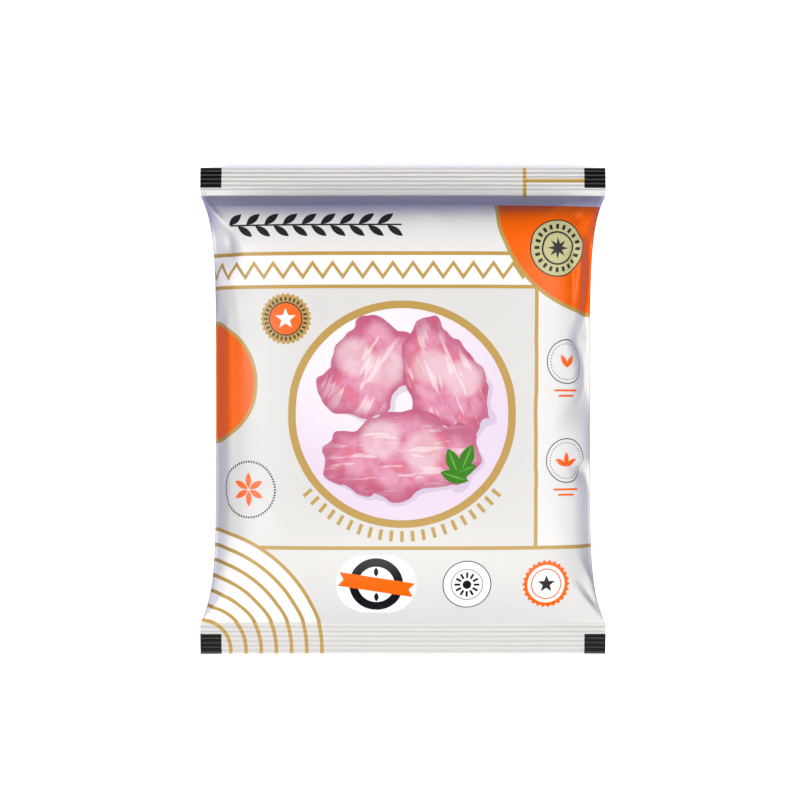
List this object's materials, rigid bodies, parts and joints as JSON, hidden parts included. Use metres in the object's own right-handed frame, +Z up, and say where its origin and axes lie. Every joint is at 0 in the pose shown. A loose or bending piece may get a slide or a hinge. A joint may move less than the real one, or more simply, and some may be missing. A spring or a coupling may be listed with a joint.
{
  "type": "frozen food pillow pack",
  "caption": "Shut pillow pack of printed plastic film, filled and lying on its back, with a crimped seal across each end, pinched sides and a fin seal down the back.",
  "frame": {"origin": "on the surface that the pack lies on, under the middle of the pack", "axes": "+X across the pack, +Y towards the top of its print, +Z up, out of its printed front"},
  "size_m": [0.2, 0.24, 0.0446],
  "materials": {
    "printed_film": "satin"
  },
  "bodies": {
    "root": {"pillow_pack": "printed_film"}
  },
  "joints": []
}
